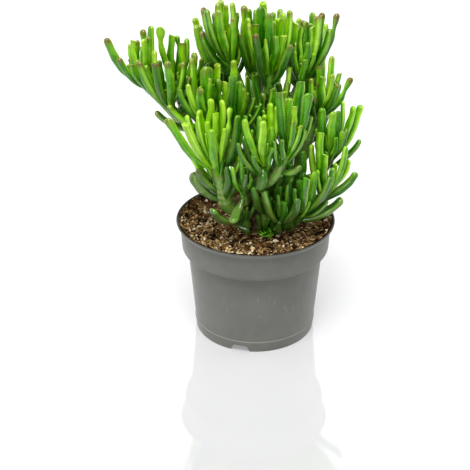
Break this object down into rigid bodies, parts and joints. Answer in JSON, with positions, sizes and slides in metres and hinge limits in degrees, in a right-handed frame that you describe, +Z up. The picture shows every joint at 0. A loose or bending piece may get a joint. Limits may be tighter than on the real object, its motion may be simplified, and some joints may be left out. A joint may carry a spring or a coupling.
{
  "type": "potted gollum jade plant",
  "caption": "Bushy succulent with upright trumpet-tipped finger leaves on branching green stems, growing in soil in a flared round plastic pot.",
  "frame": {"origin": "centre of the pot's underside, on the flat pad that rests on the surface", "axes": "+Z up along the pot's axis; -Y is the pictured front; the long leafy branch reaches towards -X"},
  "size_m": [0.1853, 0.1319, 0.257],
  "materials": {
    "pot_plastic": "matte moulded",
    "potting_soil": "rough crumbly",
    "stem": "smooth fleshy bark",
    "leaf": "waxy satin"
  },
  "bodies": {
    "root": {"pot": "pot_plastic", "shoot_back_left": "leaf", "shoot_back_low_left": "leaf", "shoot_back_low_right": "leaf", "shoot_back_mid": "leaf", "shoot_back_right": "leaf", "shoot_crown_back": "leaf", "shoot_crown_back_left": "leaf", "shoot_crown_back_right": "leaf", "shoot_crown_front": "leaf", "shoot_crown_left": "leaf", "shoot_crown_mid": "leaf", "shoot_crown_right": "leaf", "shoot_front_left": "leaf", "shoot_front_low": "leaf", "shoot_front_mid": "leaf", "shoot_heart": "leaf", "shoot_inner_mid": "leaf", "shoot_inner_right": "leaf", "shoot_left_back": "leaf", "shoot_left_low": "leaf", "shoot_left_mid": "leaf", "shoot_left_tip": "leaf", "shoot_low_front": "leaf", "shoot_low_left": "leaf", "shoot_mid": "leaf", "shoot_right_low": "leaf", "shoot_right_mid": "leaf", "shoot_right_stem": "leaf", "shoot_right_upper": "leaf", "shoot_trunk_left": "leaf", "soil": "potting_soil", "trunk": "stem"}
  },
  "joints": []
}
